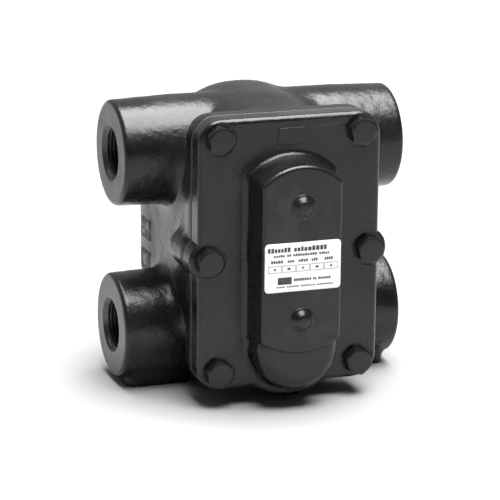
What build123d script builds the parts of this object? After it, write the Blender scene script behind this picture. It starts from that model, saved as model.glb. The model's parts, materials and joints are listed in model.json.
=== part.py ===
from build123d import *
import os
from math import atan2, cos, degrees, hypot, radians, sin, sqrt

# Float and thermostatic steam trap with four threaded ports.
# X runs to the right when facing the cover, Y runs into the casing, Z is up.
# "Depth" is the distance behind the front plane of the cover plate.

os.makedirs("parts", exist_ok=True)

# ---------------------------------------------------------------- driving dimensions
FACE_TO_FACE = 148.0
COVER_Y = -46.9

# Ports
HUB_DEPTH = 59.7
LOWER_HUB_Z = 29.4
UPPER_HUB_Z = 119.0
HUB_R = 26.6
HUB_ROOT_R = 27.6
HUB_EDGE_R = 2.2
PORT_R = 13.2
PORT_THREAD = 18.0
PORT_CORE_R = 11.4
PORT_CHAMFER = 0.9

# Cover plate and the flange behind it
PLATE_W = 94.6
PLATE_H = 136.6
PLATE_CORNER = 12.0
PLATE_Z = 77.2
COVER_T = 10.5
GASKET_T = 0.8
WINDOW_MARGIN = 0.5
FLANGE_T = 11.0
EDGE_R = 2.6
LOBE_Z = 31.0
FLANGE_BULGE_R = 29.0
EAR_R = 10.0
EAR_BOSS_END = 37.0

# Cover bolts
BOLT_X = 36.7
BOLT_Z = 59.0
MID_BOLT_X = 41.8
MID_BOLT_Z = 75.6
BOLT_R = 3.92
TAP_R = 3.97
BOLT_HOLE_R = 4.4
BOLT_HEAD_AF = 12.7
BOLT_HEAD_H = 5.4
BOLT_LENGTH = 21.0
BOLT_TURN = 12.0
HEAD_CHAMFER = 0.7
SPOT_R = 8.6
SPOT_DEPTH = 0.6

# Raised channel on the cover
VENT_Z = 104.0
VALVE_Z = 47.0
CHANNEL_R = 20.4
CHANNEL_PROUD = 18.0
CHANNEL_DRAFT = 6.5
CHANNEL_END_Z = 28.1
CHANNEL_TOP_RISE = 9.9
CHANNEL_END_RISE = 7.4
CHANNEL_CORNER_R = 4.4
CHANNEL_EDGE_R = 1.8
CHANNEL_ROOT_R = 3.0
LOBE_R = 21.3
LOBE_PROUD = 17.0
LOBE_EDGE_R = 7.5
DUCT_R = 12.0
DUCT_FRONT = -12.0
DUCT_BACK = 3.5
NEAR = 0.01

# Casing
DRUM_R = 44.5
DRUM_TOP = 148.95
DRUM_BOTTOM = 5.0
CASING_BACK = 115.0
WALL = 7.0
CROWN_DEPTH = 52.0
CROWN_RISE = 10.0
TOP_BACK_R = 45.0
SIDE_BACK_R = 13.0
BOTTOM_BACK_R = 20.0
BACK_FLAT = 0.3
HALF_FLAT = 1.5
FLANGE_EDGE_R = 1.6
EAR_BOSS_R = 3.0
CHAMBER_FLOOR = 50.0
FRONT_FLOOR = 37.5
MOUTH_R = 33.0
MOUTH_ARC_Z = 104.5
MOUTH_DEPTH = 40.0
OUTLET_W = 22.0
OUTLET_H = 14.0
OUTLET_Z = 25.0
FOOT_X = 70.0
FOOT_INNER_X = 36.0
FOOT_FRONT = 44.0
FOOT_BACK = 75.4
FOOT_CORNER = 4.0

# Stations, in depth, that the casing and the chamber are drawn through
CASING_STATIONS = [20, 28, 36, 44, 52, 60, 68, 76, 84, 91, 97, 102, 106, 109.5, 112.5, 114.2]
CHAMBER_STATIONS = [32, 36, 44, 52, 60, 68, 76, 84, 91, 96, 100, 103.5, 106, 107.2]

# Blank raised cast pads: width, height, corner, proud, and how far they reach into the wall
SIDE_PAD = (15.0, 11.0, 1.5, 0.8)
SIDE_PAD_DEPTH = 93.0
SIDE_PAD_Z = (52.5, 69.5)
TOP_PAD = (15.0, 8.5, 1.5, 0.5)
TOP_PAD_X = 0.6
TOP_PAD_Z = 135.6
PAD_ROOT = 3.0

# Round plugs and data plate
PLUG_R = 6.0
PLUG_HEAD_R = 6.4
PLUG_PROUD = 3.2
PLUG_SHANK = 5.5
PLUG_DOME_START = (-1, -0.15)
LABEL_W = 39.4
LABEL_H = 24.5
LABEL_T = 0.5
LABEL_Z = 74.6
LABEL_CORNER = 2.0

# Main seat and valve
SEAT_THREAD_R = 7.0
SEAT_HOLE_R = 7.05
SEAT_AF = 16.0
SEAT_WASHER_T = 0.8
SEAT_HEX_T = 4.2
SEAT_NOSE_R = 5.8
SEAT_FACE = 18.0
ORIFICE_R = 2.8
SEAT_END = 4.0
SEAT_CHAMFER = 0.6
SEAT_TAPER = 8.0
WASHER_RIM = 1.0
VALVE_R = 4.5
SEAT_GAP = 0.05
VALVE_STEM_R = 1.8
VALVE_COLLAR_R = 3.0
VALVE_STEM_END = 1.0
VALVE_NUT_AF = 7.0
VALVE_NUT_T = 2.6

# Lever and float
PIVOT_DEPTH = 27.0
PIVOT_Z = 66.0
PIN_R = 1.6
PIN_HALF = 13.0
PIN_END_CHAMFER = 0.3
CLIP_T = 0.8
CLIP_R = 3.4
CLIP_SLOT = 1.8
CLIP_GAP = 0.3
PIN_CLEAR = 0.05
BARREL_R = 3.4
LEVER_HALF_W = 6.0
LEVER_T = 2.0
LEVER_END = 5.0
LEVER_CORNER = 3.0
BARREL_PLAY = 0.4
ARM_REACH = 9.0
SOCKET_START = 4.6
SOCKET_R = 4.2
BALL_R = 29.0
BALL_WALL = 0.8
BALL_DEPTH = 72.0
BALL_Z = 82.0
STEM_R = 2.2
STEM_NUT_AF = 8.0
STEM_NUT_T = 3.2
BOSS_LEN = 4.0
BOSS_R = 4.6
BEAD_R = 29.8
BEAD_HALF_W = 0.7

# Fulcrum bracket
BRACKET_T = 2.0
CHEEK_INNER_X = 8.0
BRACKET_BOTTOM = 61.2
BRACKET_TOP = 81.0
SCREW_Z = 76.5
SCREW_X = 5.0
SCREW_R = 1.98
SCREW_HEAD_R = 3.6
SCREW_HEAD_H = 2.6
SCREW_HEAD_EDGE_R = 0.9
SCREW_SHANK = 7.0
SCREW_CLEAR = 0.02
SCREW_HOLE_DEPTH = 6.0
SCREW_PASS_R = 2.18
SCREW_SLOT = (5.0, 1.0)
SCREW_SLOT_DEPTH = 1.2
CHEEK_BOTTOM = 62.7
CHEEK_END = 31.0
CHEEK_FRONT_TOP = 74.0
CHEEK_BACK_TOP = 70.5
CHEEK_ROOT = 0.2
CHEEK_CORNER = 2.4
BRACKET_CORNER = 1.5

# Thermostatic vent
VENT_THREAD_R = 6.9
VENT_HOLE_R = 6.95
VENT_AF = 16.0
VENT_FACE = 17.0
VENT_ORIFICE_R = 3.0
VENT_HEX_T = 3.5
VENT_NOSE_R = 5.4
CAGE_R = 14.5
CAGE_T = 1.0
CAGE_END = 31.5
WINDOW_W = 15.0
WINDOW_START = 13.5
WINDOW_END = 21.0
CAPSULE_R = 12.6
CAPSULE_FRONT = 22.5
CAPSULE_T = 7.0
CAPSULE_FLAT_R = 6.0
CAPSULE_SHELL_R = 10.2
SOCKET_DEPTH = 2.2
RIM_HALF = 0.6
RING_T = 1.2
RING_INNER_R = 11.0
RING_GAP = 5.0
VENT_LIFT = 2.0
VENT_HEAD_R = 4.6
VENT_HEAD_T = 1.4
VENT_STEM_R = 1.3
VENT_STEM_IN = 0.1
STEM_SOCKET_R = 1.7

# ---------------------------------------------------------------- derived places
HALF = FACE_TO_FACE / 2
HUB_Y = COVER_Y + HUB_DEPTH
GASKET_DEPTH = COVER_T
FLANGE_DEPTH = COVER_T + GASKET_T
BOLT_PLACES = [(x, PLATE_Z + z) for x in (-BOLT_X, BOLT_X) for z in (-BOLT_Z, BOLT_Z)]
MID_PLACES = [(-MID_BOLT_X, MID_BOLT_Z), (MID_BOLT_X, MID_BOLT_Z)]
BALL_ARM = hypot(BALL_DEPTH - PIVOT_DEPTH, BALL_Z - PIVOT_Z)
BALL_ANGLE = degrees(atan2(BALL_Z - PIVOT_Z, BALL_DEPTH - PIVOT_DEPTH))
VALVE_DEPTH = SEAT_FACE + sqrt(VALVE_R**2 - ORIFICE_R**2) + SEAT_GAP


def facing(depth):
    """Plane facing the front, with local x = X and local y = Z."""
    return Plane.XZ.offset(-(COVER_Y + depth))


def lengthwise(z):
    """Plane through the centre line at height z, with local x = depth and local y = X."""
    return Plane(origin=(0, COVER_Y, z), x_dir=(0, 1, 0), z_dir=(0, 0, -1))


def lever_plane(offset=0.0):
    """Plane at the fulcrum whose local x runs along the float arm and local y runs across it."""
    along = (0, cos(radians(BALL_ANGLE)), sin(radians(BALL_ANGLE)))
    return Plane(origin=(offset, COVER_Y + PIVOT_DEPTH, PIVOT_Z), x_dir=along, z_dir=(1, 0, 0))


def arm_plane(distance):
    """Plane square to the float arm, a distance from the fulcrum."""
    return Plane(lever_plane().from_local_coords(Vector(distance, 0, 0)), x_dir=(1, 0, 0),
                 z_dir=(0, cos(radians(BALL_ANGLE)), sin(radians(BALL_ANGLE))))


def flange_outline():
    """Outline shared by the cover, the gasket and the casing flange."""
    with Locations((0, PLATE_Z)):
        RectangleRounded(PLATE_W, PLATE_H, PLATE_CORNER)
    with Locations(*MID_PLACES):
        Circle(EAR_R)
    with Locations((0, LOBE_Z)):
        Circle(FLANGE_BULGE_R)


def round_topped(half_width, arc_z, floor):
    """Outline with straight sides, a round top centred at arc_z and a flat bottom."""
    with BuildSketch() as outline:
        with BuildLine():
            Polyline((-half_width, arc_z), (-half_width, floor), (half_width, floor),
                     (half_width, arc_z))
            RadiusArc((half_width, arc_z), (-half_width, arc_z), -half_width)
        make_face()
    return outline.sketch


def arch_ended(half_width, top, bottom):
    """Outline of the raised channel: straight sides between two shallow arches."""
    shoulder = top - CHANNEL_TOP_RISE
    hip = bottom + CHANNEL_END_RISE
    with BuildSketch() as outline:
        with BuildLine():
            ThreePointArc((-half_width, shoulder), (0, top), (half_width, shoulder))
            Line((half_width, shoulder), (half_width, hip))
            ThreePointArc((half_width, hip), (0, bottom), (-half_width, hip))
            Line((-half_width, hip), (-half_width, shoulder))
        make_face()
        fillet(outline.vertices(), CHANNEL_CORNER_R)
    return outline.sketch


def mouth_outline(margin=0.0):
    """Outline of the chamber's mouth in the flange, larger by a margin all round."""
    return round_topped(MOUTH_R + margin, MOUTH_ARC_Z, FRONT_FLOOR - margin)


def save(part, name):
    part.label = name
    export_step(part, f"parts/{name}.step")


# ---------------------------------------------------------------- casing
def hub_profile():
    """Half outline of a pair of ports, from one end face to the other."""
    with BuildSketch() as profile:
        with BuildLine():
            Polyline((-HALF, 0), (-HALF, HUB_R), (-DRUM_R, HUB_ROOT_R), (DRUM_R, HUB_ROOT_R),
                     (HALF, HUB_R), (HALF, 0), close=True)
        make_face()
        rims = profile.vertices().filter_by(lambda v: abs(v.X) > HALF - NEAR and v.Y > NEAR)
        fillet(rims, HUB_EDGE_R)
    return profile.sketch


def port_profile():
    """Half outline of the threaded bores and the core that joins them."""
    with BuildSketch() as profile:
        with BuildLine():
            Polyline((-HALF, 0), (-HALF, PORT_R + PORT_CHAMFER), (-HALF + PORT_CHAMFER, PORT_R),
                     (-HALF + PORT_THREAD, PORT_R), (-HALF + PORT_THREAD, PORT_CORE_R),
                     (HALF - PORT_THREAD, PORT_CORE_R), (HALF - PORT_THREAD, PORT_R),
                     (HALF - PORT_CHAMFER, PORT_R), (HALF, PORT_R + PORT_CHAMFER), (HALF, 0),
                     close=True)
        make_face()
    return profile.sketch


def hub_axis(z):
    return Axis((0, HUB_Y, z), (1, 0, 0))


def hub_plane(z):
    return Plane(origin=(0, HUB_Y, z), x_dir=(1, 0, 0), z_dir=(0, 0, 1))


def rounded_off(depth, end, radius):
    """How far a face has come in at a depth, as it rounds off into the back at the end depth."""
    beyond = max(0.0, depth - (end - radius))
    return radius - sqrt(radius**2 - beyond**2)


def domed(stations, end, floor, inset):
    """Solid with a round top and a domed back, for the casing and, inset, for its chamber."""
    with BuildPart() as solid:
        for depth in [*stations, end]:
            rise = CROWN_RISE * max(0.0, 1 - depth / CROWN_DEPTH) ** 2
            top = DRUM_TOP - inset - rise - rounded_off(depth, end + BACK_FLAT, TOP_BACK_R - inset)
            half_width = DRUM_R - inset - rounded_off(depth, end + BACK_FLAT, SIDE_BACK_R - inset)
            bottom = floor + rounded_off(depth, end + BACK_FLAT, BOTTOM_BACK_R - inset)
            with BuildSketch(facing(depth)):
                with Locations((0, (top + bottom) / 2)):
                    RectangleRounded(2 * half_width, top - bottom,
                                     min(half_width, (top - bottom) / 2) - HALF_FLAT)
        loft()
    return solid.part


def cast_pad(plane, size, place):
    """Blank raised pad on a cast face; the plane lies on that face."""
    width, height, corner, proud = size
    with BuildPart() as pad:
        with BuildSketch(plane.offset(-PAD_ROOT)):
            with Locations(place):
                RectangleRounded(width, height, corner)
        extrude(amount=PAD_ROOT + proud)
        fillet(pad.faces().sort_by(Axis(plane.origin, plane.z_dir))[-1].edges(), proud / 2)
    return pad.part


with BuildPart() as body:
    with BuildSketch(facing(FLANGE_DEPTH)):
        flange_outline()
    extrude(amount=-FLANGE_T)
    fillet(body.faces().sort_by(Axis.Y)[-1].edges(), FLANGE_EDGE_R)
    flange_middle = FLANGE_DEPTH + FLANGE_T / 2
    with BuildSketch(facing(flange_middle)):
        with Locations(*MID_PLACES):
            Circle(EAR_R)
    extrude(amount=-(EAR_BOSS_END - flange_middle))
    fillet(body.faces().sort_by(Axis.Y)[-2:].edges(), EAR_BOSS_R)
    add(domed(CASING_STATIONS, CASING_BACK, DRUM_BOTTOM, 0))
    for hub_z in (LOWER_HUB_Z, UPPER_HUB_Z):
        with BuildSketch(hub_plane(hub_z)):
            add(hub_profile())
        revolve(axis=hub_axis(hub_z))
    foot_mid_y = COVER_Y + (FOOT_FRONT + FOOT_BACK) / 2
    with BuildSketch(Plane.XY):
        for side in (-1, 1):
            with Locations((side * (FOOT_X + FOOT_INNER_X) / 2, foot_mid_y)):
                RectangleRounded(FOOT_X - FOOT_INNER_X, FOOT_BACK - FOOT_FRONT, FOOT_CORNER)
    extrude(amount=LOWER_HUB_Z)
    # chamber, outlet passage and ports
    with BuildSketch(facing(FLANGE_DEPTH)):
        add(mouth_outline())
    extrude(amount=-(MOUTH_DEPTH - FLANGE_DEPTH), mode=Mode.SUBTRACT)
    add(domed(CHAMBER_STATIONS, CASING_BACK - WALL, CHAMBER_FLOOR, WALL), mode=Mode.SUBTRACT)
    with BuildSketch(facing(FLANGE_DEPTH)):
        with Locations((0, OUTLET_Z)):
            SlotOverall(OUTLET_W, OUTLET_H)
    extrude(amount=-(HUB_DEPTH - FLANGE_DEPTH), mode=Mode.SUBTRACT)
    for hub_z in (LOWER_HUB_Z, UPPER_HUB_Z):
        with BuildSketch(hub_plane(hub_z)):
            add(port_profile())
        revolve(axis=hub_axis(hub_z), mode=Mode.SUBTRACT)
    # tapped holes
    with BuildSketch(facing(FLANGE_DEPTH)):
        with Locations(*BOLT_PLACES, *MID_PLACES):
            Circle(TAP_R)
    extrude(amount=-FLANGE_T, mode=Mode.SUBTRACT)
    for pad_z in SIDE_PAD_Z:
        left_wall = Plane(origin=(-DRUM_R, 0, 0), x_dir=(0, -1, 0), z_dir=(-1, 0, 0))
        add(cast_pad(left_wall, SIDE_PAD, (-COVER_Y - SIDE_PAD_DEPTH, pad_z)))
save(body.part, "body")

# ---------------------------------------------------------------- cover
def is_channel_root(edge):
    """True for the edges where the raised channel and the lobe meet the plate."""
    middle = edge.center(CenterOf.GEOMETRY)
    on_plate = abs(middle.Y - COVER_Y) < NEAR
    beside_lobe = hypot(middle.X, middle.Z - LOBE_Z) < LOBE_R + CHANNEL_EDGE_R
    beside_channel = abs(middle.X) < CHANNEL_R + CHANNEL_ROOT_R and LOBE_Z < middle.Z
    below_top = middle.Z < VENT_Z + CHANNEL_R + CHANNEL_ROOT_R
    return on_plate and (beside_lobe or (beside_channel and below_top))


with BuildPart() as cover:
    with BuildSketch(facing(0)):
        flange_outline()
    extrude(amount=-COVER_T)
    fillet(cover.faces().sort_by(Axis.Y)[0].edges(), EDGE_R)
    with BuildSketch(facing(0)):
        with Locations((0, LOBE_Z)):
            Circle(LOBE_R)
    extrude(amount=LOBE_PROUD)
    fillet(cover.faces().sort_by(Axis.Y)[0].edges(), LOBE_EDGE_R)
    root_r = CHANNEL_R + CHANNEL_PROUD * sin(radians(CHANNEL_DRAFT))
    with BuildSketch(facing(0)):
        add(arch_ended(root_r, VENT_Z + root_r, CHANNEL_END_Z))
    extrude(amount=CHANNEL_PROUD, taper=CHANNEL_DRAFT)
    fillet(cover.faces().sort_by(Axis.Y)[0].edges(), CHANNEL_EDGE_R)
    fillet(cover.edges().filter_by(is_channel_root), CHANNEL_ROOT_R)
    # duct inside the raised channel, outlet window, seat and plug holes
    with BuildSketch(facing(DUCT_BACK)):
        with Locations((0, (VENT_Z + LOBE_Z) / 2)):
            SlotCenterToCenter(VENT_Z - LOBE_Z, 2 * DUCT_R, rotation=90)
    extrude(amount=DUCT_BACK - DUCT_FRONT, mode=Mode.SUBTRACT)
    with BuildSketch(facing(COVER_T)):
        with Locations((0, OUTLET_Z)):
            SlotOverall(OUTLET_W, OUTLET_H)
        with Locations((0, VALVE_Z)):
            Circle(SEAT_HOLE_R)
        with Locations((0, VENT_Z)):
            Circle(VENT_HOLE_R)
    extrude(amount=COVER_T - DUCT_BACK, mode=Mode.SUBTRACT)
    with BuildSketch(facing(-CHANNEL_PROUD)):
        with Locations((0, VALVE_Z), (0, VENT_Z)):
            Circle(PLUG_R)
    extrude(amount=-(CHANNEL_PROUD + DUCT_FRONT), mode=Mode.SUBTRACT)
    # bolt holes with spot faces, tapped holes for the bracket
    with BuildSketch(facing(0)):
        with Locations(*BOLT_PLACES, *MID_PLACES):
            Circle(BOLT_HOLE_R)
    extrude(amount=-COVER_T, mode=Mode.SUBTRACT)
    with BuildSketch(facing(0)):
        with Locations(*BOLT_PLACES, *MID_PLACES):
            Circle(SPOT_R)
    extrude(amount=-SPOT_DEPTH, mode=Mode.SUBTRACT)
    with BuildSketch(facing(COVER_T)):
        with Locations((-SCREW_X, SCREW_Z), (SCREW_X, SCREW_Z)):
            Circle(SCREW_R + SCREW_CLEAR)
    extrude(amount=SCREW_HOLE_DEPTH, mode=Mode.SUBTRACT)
    add(cast_pad(facing(0), TOP_PAD, (TOP_PAD_X, TOP_PAD_Z)))
save(cover.part, "cover")

# ---------------------------------------------------------------- cover gasket
with BuildPart() as cover_gasket:
    with BuildSketch(facing(GASKET_DEPTH)):
        flange_outline()
        add(mouth_outline(WINDOW_MARGIN), mode=Mode.SUBTRACT)
        with Locations((0, OUTLET_Z)):
            SlotOverall(OUTLET_W + 2 * WINDOW_MARGIN, OUTLET_H + 2 * WINDOW_MARGIN,
                        mode=Mode.SUBTRACT)
        with Locations(*BOLT_PLACES, *MID_PLACES):
            Circle(BOLT_HOLE_R, mode=Mode.SUBTRACT)
    extrude(amount=-GASKET_T)
save(cover_gasket.part, "cover_gasket")

# ---------------------------------------------------------------- cover bolts
with BuildPart() as cover_bolts:
    with BuildSketch(facing(SPOT_DEPTH)):
        with Locations(*BOLT_PLACES, *MID_PLACES):
            RegularPolygon(BOLT_HEAD_AF / 2, 6, major_radius=False, rotation=BOLT_TURN)
    extrude(amount=BOLT_HEAD_H)
    chamfer(cover_bolts.faces().group_by(Axis.Y)[0].edges(), HEAD_CHAMFER)
    with BuildSketch(facing(SPOT_DEPTH)):
        with Locations(*BOLT_PLACES, *MID_PLACES):
            Circle(BOLT_R)
    extrude(amount=-BOLT_LENGTH)
save(cover_bolts.part, "cover_bolts")

# ---------------------------------------------------------------- data plate
with BuildPart() as data_plate:
    with BuildSketch(facing(-CHANNEL_PROUD)):
        with Locations((0, LABEL_Z)):
            RectangleRounded(LABEL_W, LABEL_H, LABEL_CORNER)
    extrude(amount=LABEL_T)
save(data_plate.part, "data_plate")


# ---------------------------------------------------------------- turned pieces
def turned(z, points):
    """Solid of revolution about the centre line at height z, from (depth, radius) points."""
    with BuildPart() as piece:
        with BuildSketch(lengthwise(z)):
            with BuildLine():
                Polyline(*points, close=True)
            make_face()
        revolve(axis=Axis((0, COVER_Y, z), (0, 1, 0)))
    return piece.part


def channel_plug(z):
    """Domed plug that closes the drilling behind a seat."""
    dome_start = -CHANNEL_PROUD
    with BuildPart() as plug:
        with BuildSketch(lengthwise(z)):
            with BuildLine():
                Polyline((dome_start - PLUG_PROUD, 0), (dome_start + PLUG_SHANK, 0),
                         (dome_start + PLUG_SHANK, PLUG_R), (dome_start, PLUG_R),
                         (dome_start, PLUG_HEAD_R))
                Spline((dome_start, PLUG_HEAD_R), (dome_start - PLUG_PROUD, 0),
                       tangents=[PLUG_DOME_START, (0, -1)])
            make_face()
        revolve(axis=Axis((0, COVER_Y, z), (0, 1, 0)))
    return plug.part


save(channel_plug(VENT_Z), "upper_channel_plug")
save(channel_plug(VALVE_Z), "lower_channel_plug")


# ---------------------------------------------------------------- seats
def seat(z, hex_af, thread_r, hex_start, hex_t, nose_r, face_depth, orifice_r):
    """Hex seat screwed into the cover's inner wall, with its nose towards the chamber."""
    with BuildPart() as piece:
        with BuildSketch(facing(SEAT_END)):
            with Locations((0, z)):
                Circle(thread_r)
        extrude(amount=-(hex_start - SEAT_END))
        with BuildSketch(facing(hex_start)):
            with Locations((0, z)):
                RegularPolygon(hex_af / 2, 6, major_radius=False)
        extrude(amount=-hex_t)
        chamfer(piece.faces().sort_by(Axis.Y)[-1].edges(), SEAT_CHAMFER)
        with BuildSketch(facing(hex_start + hex_t)):
            with Locations((0, z)):
                Circle(nose_r)
        extrude(amount=-(face_depth - hex_start - hex_t), taper=SEAT_TAPER)
        with BuildSketch(facing(face_depth)):
            with Locations((0, z)):
                Circle(orifice_r)
        extrude(amount=face_depth, mode=Mode.SUBTRACT)
    return piece.part


main_seat = seat(VALVE_Z, SEAT_AF, SEAT_THREAD_R, COVER_T + SEAT_WASHER_T, SEAT_HEX_T,
                 SEAT_NOSE_R, SEAT_FACE, ORIFICE_R)
save(main_seat, "main_seat")
vent_seat = seat(VENT_Z, VENT_AF, VENT_THREAD_R, COVER_T + CAGE_T, VENT_HEX_T, VENT_NOSE_R,
                 VENT_FACE, VENT_ORIFICE_R)
save(vent_seat, "vent_seat")

washer_r = SEAT_AF / 2 + WASHER_RIM
save(turned(VALVE_Z, [(COVER_T, SEAT_HOLE_R), (COVER_T, washer_r),
                      (COVER_T + SEAT_WASHER_T, washer_r),
                      (COVER_T + SEAT_WASHER_T, SEAT_HOLE_R)]), "seat_washer")

# ---------------------------------------------------------------- fulcrum bracket
cheek_outer_x = CHEEK_INNER_X + BRACKET_T
with BuildPart() as fulcrum_bracket:
    with BuildSketch(facing(COVER_T)):
        with Locations((0, (BRACKET_BOTTOM + BRACKET_TOP) / 2)):
            RectangleRounded(2 * cheek_outer_x, BRACKET_TOP - BRACKET_BOTTOM, BRACKET_CORNER)
    extrude(amount=-BRACKET_T)
    for side in (-1, 1):
        with BuildSketch(Plane.YZ.offset(side * CHEEK_INNER_X)):
            with BuildLine():
                Polyline((COVER_Y + COVER_T + CHEEK_ROOT, CHEEK_BOTTOM),
                         (COVER_Y + CHEEK_END, CHEEK_BOTTOM),
                         (COVER_Y + CHEEK_END, CHEEK_BACK_TOP),
                         (COVER_Y + COVER_T + BRACKET_T, CHEEK_FRONT_TOP),
                         (COVER_Y + COVER_T + CHEEK_ROOT, CHEEK_FRONT_TOP), close=True)
            make_face()
            fillet(vertices().group_by(Axis.X)[-1], CHEEK_CORNER)
        extrude(amount=side * BRACKET_T)
    with BuildSketch(Plane.YZ.offset(-cheek_outer_x)):
        with Locations((COVER_Y + PIVOT_DEPTH, PIVOT_Z)):
            Circle(PIN_R)
    extrude(amount=2 * cheek_outer_x, mode=Mode.SUBTRACT)
    with BuildSketch(facing(COVER_T)):
        with Locations((-SCREW_X, SCREW_Z), (SCREW_X, SCREW_Z)):
            Circle(SCREW_PASS_R)
    extrude(amount=-BRACKET_T, mode=Mode.SUBTRACT)
save(fulcrum_bracket.part, "fulcrum_bracket")

# ---------------------------------------------------------------- bracket screws
with BuildPart() as bracket_screws:
    with BuildSketch(facing(COVER_T + BRACKET_T)):
        with Locations((-SCREW_X, SCREW_Z), (SCREW_X, SCREW_Z)):
            Circle(SCREW_HEAD_R)
    extrude(amount=-SCREW_HEAD_H)
    fillet(bracket_screws.faces().group_by(Axis.Y)[-1].edges(), SCREW_HEAD_EDGE_R)
    with BuildSketch(facing(COVER_T + BRACKET_T + SCREW_HEAD_H)):
        with Locations((-SCREW_X, SCREW_Z), (SCREW_X, SCREW_Z)):
            Rectangle(*SCREW_SLOT)
    extrude(amount=SCREW_SLOT_DEPTH, mode=Mode.SUBTRACT)
    with BuildSketch(facing(COVER_T + BRACKET_T)):
        with Locations((-SCREW_X, SCREW_Z), (SCREW_X, SCREW_Z)):
            Circle(SCREW_R)
    extrude(amount=SCREW_SHANK)
save(bracket_screws.part, "bracket_screws")

# ---------------------------------------------------------------- fulcrum pin and clips
with BuildPart() as fulcrum_pin:
    with BuildSketch(Plane.YZ.offset(-PIN_HALF)):
        with Locations((COVER_Y + PIVOT_DEPTH, PIVOT_Z)):
            Circle(PIN_R)
    extrude(amount=2 * PIN_HALF)
    chamfer(fulcrum_pin.faces().filter_by(Axis.X).edges(), PIN_END_CHAMFER)
save(fulcrum_pin.part, "fulcrum_pin")

with BuildPart() as pin_clips:
    for side in (-1, 1):
        with BuildSketch(Plane.YZ.offset(side * (cheek_outer_x + CLIP_GAP))):
            with Locations((COVER_Y + PIVOT_DEPTH, PIVOT_Z)):
                Circle(CLIP_R)
                Circle(PIN_R, mode=Mode.SUBTRACT)
                with Locations((0, -CLIP_R)):
                    Rectangle(CLIP_SLOT, 2 * CLIP_R, mode=Mode.SUBTRACT)
        extrude(amount=side * CLIP_T)
save(pin_clips.part, "pin_clips")

# ---------------------------------------------------------------- float lever
plate_front = PIVOT_DEPTH - LEVER_T / 2
plate_back = plate_front + LEVER_T
barrel_half = CHEEK_INNER_X - BARREL_PLAY
with BuildPart() as float_lever:
    with BuildSketch(Plane.YZ.offset(-barrel_half)):
        with Locations((COVER_Y + PIVOT_DEPTH, PIVOT_Z)):
            Circle(BARREL_R)
    extrude(amount=2 * barrel_half)
    with BuildSketch(facing(plate_front)):
        with Locations((0, (PIVOT_Z + VALVE_Z - LEVER_END) / 2)):
            RectangleRounded(2 * LEVER_HALF_W, PIVOT_Z - VALVE_Z + LEVER_END, LEVER_CORNER)
    extrude(amount=-LEVER_T)
    with BuildSketch(arm_plane(0)):
        Circle(SOCKET_R)
    extrude(amount=ARM_REACH)
    with BuildSketch(arm_plane(SOCKET_START)):
        Circle(STEM_R)
    extrude(amount=ARM_REACH, mode=Mode.SUBTRACT)
    with BuildSketch(Plane.YZ.offset(-CHEEK_INNER_X)):
        with Locations((COVER_Y + PIVOT_DEPTH, PIVOT_Z)):
            Circle(PIN_R + PIN_CLEAR)
    extrude(amount=2 * CHEEK_INNER_X, mode=Mode.SUBTRACT)
    with BuildSketch(facing(plate_front)):
        with Locations((0, VALVE_Z)):
            Circle(VALVE_STEM_R)
    extrude(amount=-LEVER_T, mode=Mode.SUBTRACT)
save(float_lever.part, "float_lever")

# ---------------------------------------------------------------- valve head and its nut
with BuildPart() as valve_head:
    with Locations((0, COVER_Y + VALVE_DEPTH, VALVE_Z)):
        Sphere(VALVE_R)
    with BuildSketch(facing(VALVE_DEPTH)):
        with Locations((0, VALVE_Z)):
            Circle(VALVE_COLLAR_R)
    extrude(amount=-(plate_front - VALVE_DEPTH))
    with BuildSketch(facing(plate_front)):
        with Locations((0, VALVE_Z)):
            Circle(VALVE_STEM_R)
    extrude(amount=-(LEVER_T + VALVE_NUT_T + VALVE_STEM_END))
save(valve_head.part, "valve_head")

with BuildPart() as valve_nut:
    with BuildSketch(facing(plate_back)):
        with Locations((0, VALVE_Z)):
            RegularPolygon(VALVE_NUT_AF / 2, 6, major_radius=False)
            Circle(VALVE_STEM_R, mode=Mode.SUBTRACT)
    extrude(amount=-VALVE_NUT_T)
save(valve_nut.part, "valve_nut")

# ---------------------------------------------------------------- float stem, nut and ball
boss_start = BALL_ARM - BALL_R - BOSS_LEN / 2
with BuildPart() as float_stem:
    with BuildSketch(arm_plane(SOCKET_START)):
        Circle(STEM_R)
    extrude(amount=boss_start - SOCKET_START)
save(float_stem.part, "float_stem")

with BuildPart() as stem_nut:
    with BuildSketch(arm_plane(ARM_REACH)):
        RegularPolygon(STEM_NUT_AF / 2, 6, major_radius=False)
        Circle(STEM_R, mode=Mode.SUBTRACT)
    extrude(amount=STEM_NUT_T)
save(stem_nut.part, "stem_nut")

with BuildPart() as float_ball:
    with Locations((0, COVER_Y + BALL_DEPTH, BALL_Z)):
        Sphere(BALL_R)
    with BuildSketch(arm_plane(BALL_ARM)):
        Circle(BEAD_R)
    extrude(amount=BEAD_HALF_W, both=True)
    with BuildSketch(arm_plane(boss_start)):
        Circle(BOSS_R)
    extrude(amount=BOSS_LEN)
    with Locations((0, COVER_Y + BALL_DEPTH, BALL_Z)):
        Sphere(BALL_R - BALL_WALL, mode=Mode.SUBTRACT)
save(float_ball.part, "float_ball")

# ---------------------------------------------------------------- thermostatic vent
with BuildPart() as vent_cage:
    with BuildSketch(facing(COVER_T)):
        with Locations((0, VENT_Z)):
            Circle(CAGE_R)
            Circle(VENT_HOLE_R, mode=Mode.SUBTRACT)
    extrude(amount=-CAGE_T)
    with BuildSketch(facing(COVER_T)):
        with Locations((0, VENT_Z)):
            Circle(CAGE_R)
            Circle(CAGE_R - CAGE_T, mode=Mode.SUBTRACT)
    extrude(amount=-(CAGE_END - COVER_T))
    with BuildSketch(facing(WINDOW_START)):
        with Locations((0, VENT_Z)):
            Rectangle(3 * CAGE_R, WINDOW_W)
            Rectangle(WINDOW_W, 3 * CAGE_R)
    extrude(amount=-(WINDOW_END - WINDOW_START), mode=Mode.SUBTRACT)
save(vent_cage.part, "vent_cage")

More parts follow.
